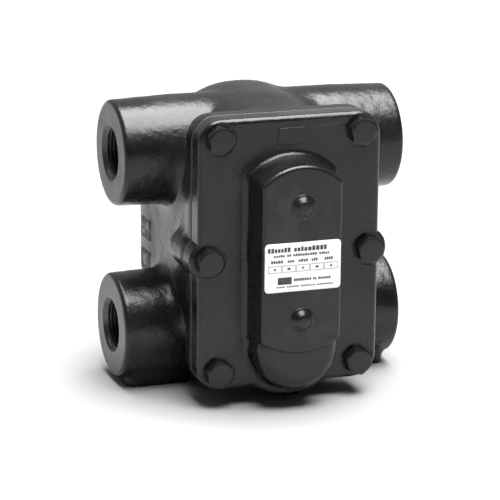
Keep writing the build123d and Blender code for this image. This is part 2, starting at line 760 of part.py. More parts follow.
capsule_mid = CAPSULE_FRONT + CAPSULE_T / 2
capsule_back = CAPSULE_FRONT + CAPSULE_T
rim_front = capsule_mid - RIM_HALF
rim_back = capsule_mid + RIM_HALF
save(turned(VENT_Z, [(CAPSULE_FRONT + SOCKET_DEPTH, 0), (CAPSULE_FRONT + SOCKET_DEPTH, STEM_SOCKET_R),
                     (CAPSULE_FRONT, STEM_SOCKET_R), (CAPSULE_FRONT, CAPSULE_FLAT_R),
                     (rim_front, CAPSULE_SHELL_R), (rim_front, CAPSULE_R),
                     (rim_back, CAPSULE_R), (rim_back, CAPSULE_SHELL_R),
                     (capsule_back, CAPSULE_FLAT_R), (capsule_back, 0)]), "vent_capsule")

with BuildPart() as capsule_ring:
    with BuildSketch(facing(rim_back)):
        with Locations((0, VENT_Z)):
            Circle(CAGE_R - CAGE_T)
            Circle(RING_INNER_R, mode=Mode.SUBTRACT)
            with Locations((0, CAGE_R)):
                Rectangle(RING_GAP, CAGE_R - RING_GAP, mode=Mode.SUBTRACT)
    extrude(amount=-RING_T)
save(capsule_ring.part, "capsule_ring")

with BuildPart() as capsule_support:
    with BuildSketch(facing(rim_front - RING_T)):
        with Locations((0, VENT_Z)):
            Circle(CAGE_R - CAGE_T)
            Circle(RING_INNER_R, mode=Mode.SUBTRACT)
    extrude(amount=-RING_T)
save(capsule_support.part, "capsule_support")

head_front = VENT_FACE + VENT_LIFT
head_back = head_front + VENT_HEAD_T
stem_end = CAPSULE_FRONT + VENT_STEM_IN
save(turned(VENT_Z, [(head_front, 0), (head_front, VENT_HEAD_R), (head_back, VENT_HEAD_R),
                     (head_back, VENT_STEM_R), (stem_end, VENT_STEM_R), (stem_end, 0)]),
     "vent_valve")
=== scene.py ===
import json
import math
import random

import bmesh
import bpy
import numpy as np
from mathutils import Matrix, Vector


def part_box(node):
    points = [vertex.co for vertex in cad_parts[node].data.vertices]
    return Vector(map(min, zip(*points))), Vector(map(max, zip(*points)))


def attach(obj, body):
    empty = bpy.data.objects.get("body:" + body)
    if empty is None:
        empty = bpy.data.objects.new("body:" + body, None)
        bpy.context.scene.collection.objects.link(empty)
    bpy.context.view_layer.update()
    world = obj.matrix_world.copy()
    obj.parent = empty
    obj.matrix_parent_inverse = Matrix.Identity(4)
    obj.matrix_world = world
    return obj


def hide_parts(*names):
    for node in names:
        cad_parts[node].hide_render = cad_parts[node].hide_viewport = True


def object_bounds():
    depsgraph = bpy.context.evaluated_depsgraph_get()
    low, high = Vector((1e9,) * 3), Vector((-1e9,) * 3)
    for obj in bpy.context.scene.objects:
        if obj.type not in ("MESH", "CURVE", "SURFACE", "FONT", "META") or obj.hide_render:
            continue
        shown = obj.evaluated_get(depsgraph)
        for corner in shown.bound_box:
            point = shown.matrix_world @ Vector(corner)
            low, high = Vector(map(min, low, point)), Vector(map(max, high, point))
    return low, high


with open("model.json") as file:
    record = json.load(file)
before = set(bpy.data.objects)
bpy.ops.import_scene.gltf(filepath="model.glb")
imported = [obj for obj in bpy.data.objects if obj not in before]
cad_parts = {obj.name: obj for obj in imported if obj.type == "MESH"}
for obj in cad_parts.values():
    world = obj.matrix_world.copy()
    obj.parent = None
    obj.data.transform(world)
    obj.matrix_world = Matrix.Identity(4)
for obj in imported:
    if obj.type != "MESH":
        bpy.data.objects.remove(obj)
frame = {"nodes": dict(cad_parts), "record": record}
cad_low, cad_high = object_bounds()
record = frame["record"]
MM = 0.001
SHARP_ANGLE = math.radians(35)
TURN = 2 * math.pi
CORNER_STEPS = 8
WELD = 1e-7


# ---------------------------------------------------------------- small helpers
def smooth(obj, angle=SHARP_ANGLE):
    mesh = obj.data
    mesh.polygons.foreach_set("use_smooth", [True] * len(mesh.polygons))
    mesh.set_sharp_from_angle(angle=angle)


def new_object(name, verts, faces, sharp_angle=SHARP_ANGLE):
    mesh = bpy.data.meshes.new(name)
    mesh.from_pydata([tuple(v) for v in verts], [], [tuple(f) for f in faces])
    mesh.validate()
    obj = bpy.data.objects.new(name, mesh)
    bpy.context.scene.collection.objects.link(obj)
    smooth(obj, sharp_angle)
    return obj


def on_casing(obj, material, replaced=None):
    """Gives a piece its material and its body, and hides the CAD node it stands for, if any."""
    obj.data.materials.append(material)
    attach(obj, "casing")
    if replaced:
        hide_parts(replaced)


def ring_faces(rows, columns):
    """Quads that join rows of points, each row a closed ring."""
    faces = []
    for row in range(rows - 1):
        low = row * columns
        for column in range(columns):
            right = (column + 1) % columns
            faces.append((low + column, low + right, low + columns + right, low + columns + column))
    return faces


def reversed_faces(faces):
    return [tuple(reversed(face)) for face in faces]


def capped_loft(name, rings, sharp_angle=SHARP_ANGLE, flipped=False):
    """Closed solid through rings of points, with a flat face over each end."""
    columns = len(rings[0])
    last = (len(rings) - 1) * columns
    faces = ring_faces(len(rings), columns)
    faces.append(tuple(reversed(range(columns))))
    faces.append(tuple(range(last, last + columns)))
    if flipped:
        faces = reversed_faces(faces)
    return new_object(name, [point for ring in rings for point in ring], faces, sharp_angle)


def rounded_outline(half_u, half_v, corner):
    """Points of a rounded rectangle, anticlockwise."""
    points = []
    for sign_u, sign_v, start in ((1, 1, 0), (-1, 1, 90), (-1, -1, 180), (1, -1, 270)):
        for k in range(CORNER_STEPS + 1):
            angle = math.radians(start + 90 * k / CORNER_STEPS)
            points.append((sign_u * (half_u - corner) + corner * math.cos(angle),
                           sign_v * (half_v - corner) + corner * math.sin(angle)))
    return points


def islands(node):
    """Boxes of the separate solids in a CAD node."""
    work = bmesh.new()
    work.from_mesh(frame["nodes"][node].data)
    bmesh.ops.remove_doubles(work, verts=work.verts, dist=WELD)
    seen = set()
    boxes = []
    for start in work.verts:
        if start in seen:
            continue
        group = [start]
        seen.add(start)
        for vert in group:
            for edge in vert.link_edges:
                other = edge.other_vert(vert)
                if other not in seen:
                    seen.add(other)
                    group.append(other)
        points = np.array([v.co for v in group])
        boxes.append((Vector(points.min(0)), Vector(points.max(0))))
    work.free()
    return boxes


RANGE_INPUTS = ("From Min", "From Max", "To Min", "To Max")


class Nodes:
    """A material's node tree with a Principled shader, and short calls to build it."""

    def __init__(self, name):
        self.material = bpy.data.materials.new(name)
        self.material.use_nodes = True
        self.tree = self.material.node_tree
        self.shader = self.tree.nodes["Principled BSDF"]
        self.object_space = self.node("ShaderNodeTexCoord").outputs["Object"]

    def node(self, kind, **settings):
        made = self.tree.nodes.new(kind)
        for key, value in settings.items():
            setattr(made, key, value)
        return made

    def link(self, source, target):
        if hasattr(source, "is_linked"):
            self.tree.links.new(source, target)
        else:
            target.default_value = source

    def set(self, **values):
        for key, value in values.items():
            self.shader.inputs[key.replace("_", " ")].default_value = value

    def scaled(self, scale):
        mapping = self.node("ShaderNodeMapping")
        self.link(self.object_space, mapping.inputs["Vector"])
        mapping.inputs["Scale"].default_value = scale
        return mapping.outputs["Vector"]

    def noise(self, scale, detail, roughness, vector=None):
        made = self.node("ShaderNodeTexNoise")
        self.link(vector or self.object_space, made.inputs["Vector"])
        made.inputs["Scale"].default_value = scale
        made.inputs["Detail"].default_value = detail
        made.inputs["Roughness"].default_value = roughness
        return made.outputs["Fac"]

    def voronoi(self, scale):
        made = self.node("ShaderNodeTexVoronoi")
        self.link(self.object_space, made.inputs["Vector"])
        made.inputs["Scale"].default_value = scale
        return made.outputs["Distance"]

    def remap(self, value, low, high, to_low, to_high):
        made = self.node("ShaderNodeMapRange")
        self.link(value, made.inputs["Value"])
        for key, number in zip(RANGE_INPUTS, (low, high, to_low, to_high)):
            self.link(number, made.inputs[key])
        return made.outputs["Result"]

    def math(self, operation, first, second):
        made = self.node("ShaderNodeMath", operation=operation)
        self.link(first, made.inputs[0])
        self.link(second, made.inputs[1])
        return made.outputs["Value"]

    def mix(self, factor, first, second):
        made = self.node("ShaderNodeMix", data_type="RGBA")
        self.link(factor, made.inputs["Factor"])
        self.link(first, made.inputs[6])
        self.link(second, made.inputs[7])
        return made.outputs[2]

    def bump(self, height, distance, under=None):
        made = self.node("ShaderNodeBump")
        made.inputs["Distance"].default_value = distance
        self.link(height, made.inputs["Height"])
        if under is not None:
            self.link(under, made.inputs["Normal"])
        return made.outputs["Normal"]


def grey(value):
    return (value, value, value, 1.0)


# ---------------------------------------------------------------- materials
# A NOISE is a scale, a detail and a roughness (BRUSH_NOISE has no scale). A BAND is the range of values that
# a ramp is spread over.
PAINT_DARK = grey(0.006)
PAINT_LIGHT = grey(0.011)
PAINT_WORN = grey(0.03)
PAINT_IOR = 1.43
SWELL_NOISE = (170, 2.0, 0.5)
SWELL_DEPTH = 0.12 * MM
GRAIN_NOISE = (950, 3.0, 0.6)
GRAIN_DEPTH = 0.11 * MM
PATCH_NOISE = (45, 4.0, 0.6)
PATCH_BAND = (0.35, 0.65)
PATCH_WORN_BAND = (0.45, 0.7)
WORN_EDGE_BAND = (0.53, 0.60)
DULL_BAND = (0.5, 1.0)
PIT_CELLS = 420
PIT_R = 0.16
PIT_DEPTH = 0.05 * MM
FIBRE_NOISE = (600, 4.0, 0.7)
FIBRE_STRETCH = (1.0, 6.0, 1.0)
FIBRE_DEPTH = 0.06 * MM
MARK_NOISE = (260, 5.0, 0.65)
MARK_BAND = (0.4, 0.8)
MARK_DEPTH = 0.01 * MM
RUB_NOISE = (1400, 3.0, 0.6)
RUB_BAND = (0.55, 0.75)
BRUSH_NOISE = (3.0, 0.6)
BRUSH_DEPTH = 0.02 * MM
CLOUD_NOISE = (90, 4.0, 0.6)
CLOUD_BAND = (0.3, 0.7)
TARNISH_CELLS = 500
TARNISH_R = 0.2


def cast_paint(name, grain=1.0, roughness=0.25):
    """Semi-gloss black paint over cast iron: sand-cast grain, soft unevenness, pits and dulled patches."""
    n = Nodes(name)
    grit = n.noise(*GRAIN_NOISE)
    swell = n.noise(*SWELL_NOISE)
    pits = n.remap(n.voronoi(PIT_CELLS), 0.0, PIT_R, 1.0, 0.0)
    patches = n.noise(*PATCH_NOISE)
    normal = n.bump(swell, SWELL_DEPTH * grain)
    normal = n.bump(grit, GRAIN_DEPTH * grain, under=normal)
    normal = n.bump(pits, -PIT_DEPTH * grain, under=normal)
    n.link(normal, n.shader.inputs["Normal"])
    edge = n.node("ShaderNodeNewGeometry").outputs["Pointiness"]
    worn = n.math("MULTIPLY", n.remap(edge, *WORN_EDGE_BAND, 0.0, 1.0),
                  n.remap(patches, *PATCH_WORN_BAND, 0.0, 1.0))
    colour = n.mix(n.remap(patches, *PATCH_BAND, 0.0, 1.0), PAINT_DARK, PAINT_LIGHT)
    n.link(n.mix(worn, colour, PAINT_WORN), n.shader.inputs["Base Color"])
    unevenness = n.math("ADD", patches, n.math("MULTIPLY", grit, 0.5))
    n.link(n.remap(unevenness, *DULL_BAND, roughness - 0.07, roughness + 0.10), n.shader.inputs["Roughness"])
    n.set(IOR=PAINT_IOR)
    return n.material


def gasket_sheet():
    """Graphite-faced fibre sheet."""
    n = Nodes("gasket_sheet")
    fibre = n.noise(*FIBRE_NOISE, n.scaled(FIBRE_STRETCH))
    n.link(n.mix(fibre, grey(0.02), grey(0.07)), n.shader.inputs["Base Color"])
    n.link(n.bump(fibre, FIBRE_DEPTH), n.shader.inputs["Normal"])
    n.set(Roughness=0.8)
    return n.material


def plate_white():
    """White enamelled plate with faint handling marks."""
    n = Nodes("plate_white")
    marks = n.noise(*MARK_NOISE)
    colour = n.mix(n.remap(marks, *MARK_BAND, 0.0, 1.0), grey(0.95), grey(0.84))
    n.link(colour, n.shader.inputs["Base Color"])
    n.link(n.remap(marks, 0.3, 0.7, 0.3, 0.5), n.shader.inputs["Roughness"])
    n.link(n.bump(marks, MARK_DEPTH), n.shader.inputs["Normal"])
    return n.material


def print_ink():
    """Printed ink, a little broken where it has rubbed."""
    n = Nodes("print_ink")
    rub = n.noise(*RUB_NOISE)
    colour = n.mix(n.remap(rub, *RUB_BAND, 0.0, 1.0), grey(0.035), grey(0.25))
    n.link(colour, n.shader.inputs["Base Color"])
    n.set(Roughness=0.55)
    return n.material


def metal(name, dark, light, roughness, streak, streak_scale=500.0, pitted=False):
    """Bare metal with fine streaks, tarnish clouds and, if pitted, pits. Streak is a scale for each axis."""
    n = Nodes(name)
    lines = n.noise(streak_scale, *BRUSH_NOISE, n.scaled(streak))
    cloud = n.noise(*CLOUD_NOISE)
    n.link(n.mix(n.remap(cloud, *CLOUD_BAND, 0.0, 1.0), dark, light), n.shader.inputs["Base Color"])
    n.link(n.remap(n.math("ADD", lines, cloud), 0.7, 1.3, roughness - 0.08, roughness + 0.1),
           n.shader.inputs["Roughness"])
    normal = n.bump(lines, BRUSH_DEPTH)
    if pitted:
        pits = n.remap(n.voronoi(TARNISH_CELLS), 0.0, TARNISH_R, 1.0, 0.0)
        normal = n.bump(pits, -BRUSH_DEPTH, under=normal)
    n.link(normal, n.shader.inputs["Normal"])
    n.set(Metallic=1.0)
    return n.material


BODY_PAINT = cast_paint("cast_paint_body")
COVER_PAINT = cast_paint("cast_paint_cover", grain=0.8)
BOLT_PAINT = cast_paint("bolt_paint", grain=0.5, roughness=0.28)
PLUG_PAINT = cast_paint("plug_paint", grain=0.3, roughness=0.27)
FACED_PAINT = cast_paint("faced_paint", grain=0.45, roughness=0.30)
PAD_PAINT = cast_paint("pad_paint", grain=2.2, roughness=0.5)
GASKET = gasket_sheet()
PLATE = plate_white()
INK = print_ink()
BRUSHED = (1.0, 7.0, 1.0)
TURNED = (1.0, 10.0, 1.0)
THREAD_IRON = metal("cut_iron", grey(0.05), grey(0.11), 0.42, (1.0, 8.0, 8.0), pitted=True)
STAINLESS = metal("stainless", (0.42, 0.42, 0.43, 1), (0.58, 0.58, 0.58, 1), 0.28, BRUSHED)
BALL_STEEL = metal("spun_stainless", (0.48, 0.48, 0.49, 1), (0.62, 0.62, 0.62, 1), 0.22, (6.0, 1.0, 1.0))
TURNED_STEEL = metal("turned_stainless", (0.40, 0.40, 0.41, 1), (0.56, 0.56, 0.56, 1), 0.25, TURNED)
BRASS = metal("turned_brass", (0.46, 0.30, 0.10, 1), (0.62, 0.43, 0.17, 1), 0.27, TURNED)
ZINC = metal("zinc_plate", (0.45, 0.46, 0.48, 1), (0.60, 0.61, 0.62, 1), 0.36, (2.0, 2.0, 2.0),
             streak_scale=900.0, pitted=True)

NODE_MATERIALS = {
    "body": BODY_PAINT,
    "cover": COVER_PAINT,
    "cover_gasket": GASKET,
    "cover_bolts": BOLT_PAINT,
    "data_plate": PLATE,
    "upper_channel_plug": PLUG_PAINT,
    "lower_channel_plug": PLUG_PAINT,
    "main_seat": TURNED_STEEL,
    "seat_washer": ZINC,
    "fulcrum_bracket": STAINLESS,
    "bracket_screws": ZINC,
    "fulcrum_pin": TURNED_STEEL,
    "pin_clips": ZINC,
    "vent_seat": BRASS,
    "vent_cage": STAINLESS,
    "vent_capsule": BALL_STEEL,
    "capsule_ring": ZINC,
    "capsule_support": STAINLESS,
    "float_lever": STAINLESS,
    "valve_head": TURNED_STEEL,
    "valve_nut": ZINC,
    "float_stem": TURNED_STEEL,
    "stem_nut": ZINC,
    "float_ball": BALL_STEEL,
    "vent_valve": BRASS,
}
for node, material in NODE_MATERIALS.items():
    obj = frame["nodes"][node]
    obj.data.materials.clear()
    obj.data.materials.append(material)
    smooth(obj)

# ---------------------------------------------------------------- places read from the frame
PORTS = {m["name"]: m for m in record["mounts"] if m["kind"] == "threaded_hole"}
HUB_Y = PORTS["left_upper_port"]["pos_m"][1]
HUB_HEIGHTS = sorted({round(m["pos_m"][2], 5) for m in PORTS.values()})
PORT_R = PORTS["left_upper_port"]["dims"]["r_mm"] * MM
PORT_FACE_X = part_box("body")[1].x
FLANGE_FRONT_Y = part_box("cover_gasket")[1].y
COVER_BACK_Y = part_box("cover_gasket")[0].y


# ---------------------------------------------------------------- cast casing
CAST_VOXEL = 0.85 * MM
CAST_FACES = 190000
CAST_SHARP_ANGLE = math.radians(50)
DRUM_R = 44.5 * MM
CHAMBER_SKIN = 3.5 * MM
BORE_SKIN = 6 * MM
LOW_AXIS_RISE = 20 * MM
HIGH_AXIS_DROP = 15 * MM
FLANGE_START = 6 * MM
FLANGE_FADE = 3 * MM
HUB_START = 2 * MM
HUB_FADE = 4 * MM
FOOT_START = 0.6 * MM
FOOT_FADE = 2 * MM
FILLET_STEPS = 60
FILLET_PACE = 0.9
OUTER_CORNER_PACE = 0.12
NORMALS_EVERY = 6
WAVE_COUNT = 14
SKIN_DEPTH = 0.05 * MM
LONG_WAVE = 9 * MM
SHORT_WAVE = 3.2 * MM
SHORT_SHARE = 0.7


def evaluated_mesh(obj):
    graph = bpy.context.evaluated_depsgraph_get()
    return bpy.data.meshes.new_from_object(obj.evaluated_get(graph), depsgraph=graph)


def vertex_values(mesh, attribute):
    flat = np.zeros(len(mesh.vertices) * 3)
    mesh.vertices.foreach_get(attribute, flat)
    return flat.reshape(-1, 3)


def put_points(mesh, points):
    mesh.vertices.foreach_set("co", points.ravel())
    mesh.update()


def outside_share(points):
    """1 on the outer skin, falling to 0 at the flange face, hub ends, bores, chamber and feet."""
    x, y, z = points.T
    low, high = HUB_HEIGHTS[0] + LOW_AXIS_RISE, HUB_HEIGHTS[1] - HIGH_AXIS_DROP
    from_axis = np.hypot(x, z - np.clip(z, low, high))
    chamber = from_axis < DRUM_R - CHAMBER_SKIN
    back_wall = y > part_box("body")[1].y - CHAMBER_SKIN
    bore = np.zeros(len(points), bool)
    for height in HUB_HEIGHTS:
        bore |= np.hypot(y - HUB_Y, z - height) < PORT_R + BORE_SKIN
    outside = ~(chamber | bore) | back_wall
    share = outside.astype(float)
    share *= np.clip((y - FLANGE_FRONT_Y - FLANGE_START) / FLANGE_FADE, 0, 1)
    share *= np.clip((PORT_FACE_X - np.abs(x) - HUB_START) / HUB_FADE, 0, 1)
    share *= np.clip((z - FOOT_START) / FOOT_FADE, 0, 1)
    return share


def fill_corners(mesh, share):
    """Rounds the inside corners of the casting, as a foundry pattern does, and hardly the outside ones."""
    points = vertex_values(mesh, "co")
    ends = np.zeros(len(mesh.edges) * 2, int)
    mesh.edges.foreach_get("vertices", ends)
    first, second = ends.reshape(-1, 2).T
    count = len(points)
    degree = np.bincount(first, minlength=count) + np.bincount(second, minlength=count)
    for step in range(FILLET_STEPS):
        if step % NORMALS_EVERY == 0:
            put_points(mesh, points)
            normals = vertex_values(mesh, "normal")
        around = np.stack([np.bincount(first, points[second, axis], count)
                           + np.bincount(second, points[first, axis], count) for axis in range(3)], 1)
        offset = around / degree[:, None] - points
        along = (offset * normals).sum(1)
        along[along < 0] *= OUTER_CORNER_PACE
        points += normals * (along * share * FILLET_PACE)[:, None]
    put_points(mesh, points)


def waves(points, size, seed):
    """Smooth uneven field of about that wavelength, from a few sine waves in random directions."""
    rng = np.random.default_rng(seed)
    total = np.zeros(len(points))
    for _ in range(WAVE_COUNT):
        direction = rng.normal(size=3)
        direction /= np.linalg.norm(direction)
        turns = TURN / (size * rng.uniform(0.7, 1.5))
        total += np.sin(points @ direction * turns + rng.uniform(0, TURN))
    return total / math.sqrt(WAVE_COUNT)


def cast_casing():
    """The casing with cast fillets and a slightly uneven skin, in place of the sharp-cornered CAD solid."""
    work = bpy.data.objects.new("casting_work", frame["nodes"]["body"].data.copy())
    bpy.context.scene.collection.objects.link(work)
    remesh = work.modifiers.new("remesh", "REMESH")
    remesh.mode = "VOXEL"
    remesh.voxel_size = CAST_VOXEL
    mesh = evaluated_mesh(work)
    bpy.data.objects.remove(work)
    share = outside_share(vertex_values(mesh, "co"))
    fill_corners(mesh, share)
    points = vertex_values(mesh, "co")
    skin = waves(points, LONG_WAVE, 1) + SHORT_SHARE * waves(points, SHORT_WAVE, 2)
    points += vertex_values(mesh, "normal") * (skin * share * SKIN_DEPTH)[:, None]
    put_points(mesh, points)
    obj = bpy.data.objects.new("cast_casing", mesh)
    bpy.context.scene.collection.objects.link(obj)
    thin = obj.modifiers.new("thin", "DECIMATE")
    thin.ratio = min(1.0, CAST_FACES / (2 * len(mesh.polygons)))
    light_mesh = evaluated_mesh(obj)
    obj.modifiers.clear()
    obj.data = light_mesh
    light_mesh.name = "cast_casing"
    light_mesh.materials.clear()
    smooth(obj, CAST_SHARP_ANGLE)
    on_casing(obj, BODY_PAINT, "body")


cast_casing()


# ---------------------------------------------------------------- threads and faced ends of the ports
PIPE_PITCH = 25.4 / 14 * MM
PIPE_TAPER = 1 / 32
PIPE_CLEARANCE = 0.12 * MM
THREAD_DEPTH = 1.25 * MM
THREAD_LENGTH = 17.4 * MM
THREAD_START = 0.09 * MM
THREAD_STEP = 0.15 * MM
THREAD_WALL = 1.6 * MM
THREAD_FLAT = 0.12
FACE_OUTER_R = 24.3 * MM
FACE_EDGE = 0.05 * MM
FACE_PROUD = 0.03 * MM
FACE_SKIN = 0.2 * MM
FACE_RINGS = 9
MOUTH_CHAMFER = 0.9 * MM
PORT_SHARP_ANGLE = math.radians(50)
PORT_COLUMNS = 84
PORT_ANGLES = np.linspace(0, TURN, PORT_COLUMNS, endpoint=False)


def ridge(phase):
    """Height from 0 to 1 across one thread, with a flat crest and a flat root."""
    triangle = np.abs(2 * (phase % 1.0) - 1)
    return np.clip((triangle - THREAD_FLAT) / (1 - 2 * THREAD_FLAT), 0, 1)


def port_ring(name, mount, profile, material):
    """Closed ring about a port's axis, from a loop of radii and their depths below the end face."""
    side = mount["axis"][0]
    _, centre_y, centre_z = mount["pos_m"]
    verts = []
    for radii, depth in profile:
        for angle, r in zip(PORT_ANGLES, radii):
            verts.append((side * (PORT_FACE_X - depth), centre_y + r * math.cos(angle),
                          centre_z + r * math.sin(angle)))
    count = len(verts)
    faces = [tuple(k % count for k in face) for face in ring_faces(len(profile) + 1, PORT_COLUMNS)]
    if side > 0:
        faces = reversed_faces(faces)
    on_casing(new_object(name, verts, faces, PORT_SHARP_ANGLE), material)


def port_face(name, mount):
    """Faced end of a hub, just proud of the casting, down to the start of the mouth chamfer."""
    mouth = PORT_R + MOUTH_CHAMFER
    loop = [(FACE_OUTER_R + FACE_EDGE, FACE_SKIN)]
    loop += [(radius, -FACE_PROUD) for radius in np.linspace(FACE_OUTER_R, mouth, FACE_RINGS)]
    loop += [(mouth - THREAD_START - FACE_PROUD, depth) for depth in (THREAD_START, FACE_SKIN)]
    profile = [(np.full(PORT_COLUMNS, radius), depth) for radius, depth in loop]
    port_ring(name, mount, profile, FACED_PAINT)


def port_thread(name, mount):
    """Tapered pipe thread with its mouth chamfer, let into the wall of the hub."""
    side = mount["axis"][0]
    profile = []
    for inward in np.arange(THREAD_START + FACE_PROUD, THREAD_LENGTH, THREAD_STEP):
        fade = min(1.0, (THREAD_LENGTH - inward) / PIPE_PITCH)
        crest = THREAD_DEPTH * fade * ridge(inward / PIPE_PITCH - side * PORT_ANGLES / TURN)
        radii = PORT_R - PIPE_CLEARANCE - inward * PIPE_TAPER * fade - crest
        profile.append((np.maximum(radii, PORT_R + MOUTH_CHAMFER - inward), inward - FACE_PROUD))
    wall = np.full(PORT_COLUMNS, PORT_R + THREAD_WALL)
    profile += [(wall, profile[-1][1]), (wall, profile[0][1])]
    port_ring(name, mount, profile, THREAD_IRON)


for port_name, port in PORTS.items():
    port_face(port_name + "_face", port)
    port_thread(port_name + "_thread", port)


# ---------------------------------------------------------------- hex bolts
BOLT_AF = 12.7 * MM
BOLT_HEAD = 5.4 * MM
BOLT_SHANK_R = 3.92 * MM
BOLT_PITCH = 25.4 / 18 * MM
BOLT_TURN = math.radians(12)
BOLT_COLUMNS = 96
BOLT_SHARP_ANGLE = math.radians(28)
HEX_SHARPNESS = 30.0
HEAD_TOP_R = 0.46 * BOLT_AF
HEAD_CHAMFER_SLOPE = math.tan(math.radians(26))
HEAD_CHAMFER_START = 0.12 * MM
HEAD_CHAMFER_FALL = 0.04 * MM
HEAD_CHAMFER_END = 0.5 * MM
HEAD_CREASE = 1.004
HEAD_DOME = 0.10 * MM
HEAD_MIDDLE = 0.6
DOME_SHARES = (0.02, 0.35, 0.7, 0.93)
CHAMFER_SHARES = (0.0, 0.2, 1.0)
WASHER_FACE_R = 0.475 * BOLT_AF
WASHER_FACE_T = 0.30 * MM
HEAD_UNDERSIDE = ((1.0, 0.45 * MM), (0.985, 0.32 * MM))
BOLT_THREAD_STEP = 0.28 * MM
BOLT_THREAD_START = 0.4 * MM
BOLT_PLAIN = 5 * MM
BOLT_THREAD_DEPTH = 0.75 * MM
BOLT_ROOT_R = 1.02 * BOLT_SHANK_R
BOLT_POINT = 1.2 * MM
BOLT_POINT_SLOPE = 0.7
BOLT_POINT_R = 0.3 * MM


def hex_radius(angle):
    """Radius of a hexagon 1 across flats, with slightly rounded corners, at an angle from a flat."""
    total = sum(abs(math.cos(angle - k * math.pi / 3)) ** HEX_SHARPNESS for k in range(3))
    return 0.5 / total ** (1 / HEX_SHARPNESS)


def hex_bolt(name, low, high):
    """Hex head with a domed, chamfered top and a washer face, on a threaded shank."""
    centre_x, centre_z = (low.x + high.x) / 2, (low.z + high.z) / 2
    seat_y = low.y + BOLT_HEAD
    length = high.y - seat_y
    angles = [TURN * k / BOLT_COLUMNS for k in range(BOLT_COLUMNS)]
    outline = [hex_radius(a - BOLT_TURN) * BOLT_AF for a in angles]
    rings = []

    def ring(radii, depths):
        rings.append([(centre_x + r * math.cos(a), y, centre_z + r * math.sin(a))
                      for r, y, a in zip(radii, depths, angles)])

    def flat_ring(radii, depth):
        ring(radii, [depth] * BOLT_COLUMNS)

    def round_ring(radius, depth):
        flat_ring([radius] * BOLT_COLUMNS, depth)

    for share in DOME_SHARES:
        round_ring(HEAD_TOP_R * share, low.y + HEAD_DOME * share ** 2)
    for share in CHAMFER_SHARES:
        radii = [HEAD_TOP_R + (o - HEAD_TOP_R) * share for o in outline]
        start = low.y + HEAD_CHAMFER_START + HEAD_CHAMFER_FALL * share
        ring(radii, [start + max(0.0, r - HEAD_TOP_R) * HEAD_CHAMFER_SLOPE for r in radii])
    ring([r * HEAD_CREASE for r in outline],
         [low.y + HEAD_CHAMFER_END + (r - HEAD_TOP_R) * HEAD_CHAMFER_SLOPE for r in outline])
    flat_ring(outline, low.y + BOLT_HEAD * HEAD_MIDDLE)
    for share, rise in HEAD_UNDERSIDE:
        flat_ring([r * share for r in outline], seat_y - rise)
    round_ring(WASHER_FACE_R, seat_y - WASHER_FACE_T)
    round_ring(WASHER_FACE_R, seat_y)
    round_ring(BOLT_ROOT_R, seat_y)
    for inward in np.arange(BOLT_THREAD_START, length, BOLT_THREAD_STEP):
        cut = np.array([ridge(inward / BOLT_PITCH - a / TURN) for a in angles])
        fade = float(np.clip((inward - BOLT_PLAIN) / BOLT_PITCH, 0, 1))
        taper = max(0.0, inward - length + BOLT_POINT) * BOLT_POINT_SLOPE
        flat_ring(BOLT_SHANK_R - fade * BOLT_THREAD_DEPTH * (1 - cut) - taper, seat_y + inward)
    round_ring(BOLT_POINT_R, high.y)
    obj = capped_loft(name, rings, BOLT_SHARP_ANGLE, flipped=True)
    on_casing(obj, BOLT_PAINT, "cover_bolts")


bolt_boxes = sorted(islands("cover_bolts"), key=lambda box: (round(box[0].z, 3), box[0].x))
for number, (low, high) in enumerate(bolt_boxes, 1):
    hex_bolt(f"cover_bolt_{number}", low, high)


# ---------------------------------------------------------------- channel plugs
# Radius and height above the channel's face, in mm, from the rim to the crown
PLUG_PROFILE = ((6.4, 0.0), (6.35, 0.2), (6.0, 0.34), (5.5, 0.55), (4.8, 1.18), (4.0, 1.98), (3.2, 2.68),
                (2.3, 3.05), (1.3, 3.17), (0.6, 3.19), (0.05, 3.2))
PLUG_SHANK_R = 5.95 * MM
PLUG_COLUMNS = 72
PLUG_SHARP_ANGLE = math.radians(50)
PROFILE_STEPS = 60
PROFILE_SOFTENING = 5


def channel_plug(node):
    """Round-headed plug with a thin rim, and its shank in the channel wall."""
    low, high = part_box(node)
    centre_x, centre_z = (low.x + high.x) / 2, (low.z + high.z) / 2
    radii, heights = np.array(PLUG_PROFILE).T * MM
    seat_y = low.y + heights.max()
    travel = np.concatenate([[0], np.cumsum(np.hypot(np.diff(radii), np.diff(heights)))])
    along = np.linspace(0, travel[-1], PROFILE_STEPS)
    fine = np.stack([np.interp(along, travel, radii), np.interp(along, travel, heights)], 1)
    for _ in range(PROFILE_SOFTENING):
        fine[1:-1] = (fine[:-2] + 2 * fine[1:-1] + fine[2:]) / 4
    rows = [(PLUG_SHANK_R, high.y), (PLUG_SHANK_R, seat_y)]
    rows += [(radius, seat_y - height) for radius, height in fine]
    angles = [TURN * k / PLUG_COLUMNS for k in range(PLUG_COLUMNS)]
    rings = [[(centre_x + radius * math.cos(a), depth, centre_z + radius * math.sin(a)) for a in angles]
             for radius, depth in rows]
    obj = capped_loft(node + "_domed", rings, PLUG_SHARP_ANGLE)
    on_casing(obj, PLUG_PAINT, node)


for plug_node in ("upper_channel_plug", "lower_channel_plug"):
    channel_plug(plug_node)


# ---------------------------------------------------------------- blank cast pads on the left wall
PAD_LENGTH = 15.0 * MM
PAD_HEIGHT = 11.0 * MM
PAD_CORNER = 1.5 * MM
PAD_LEAST_CORNER = 0.6 * MM
PAD_HEIGHTS = (52.5 * MM, 69.5 * MM)
PAD_Y = COVER_BACK_Y + 82.5 * MM
PAD_SHARP_ANGLE = math.radians(60)
# Growth beyond the pad's outline and height above the wall, in mm
PAD_PROFILE = ((1.2, -0.6), (0.5, 0.15), (0.15, 0.5), (0.0, 0.72), (-0.25, 0.8), (-2.5, 0.8))


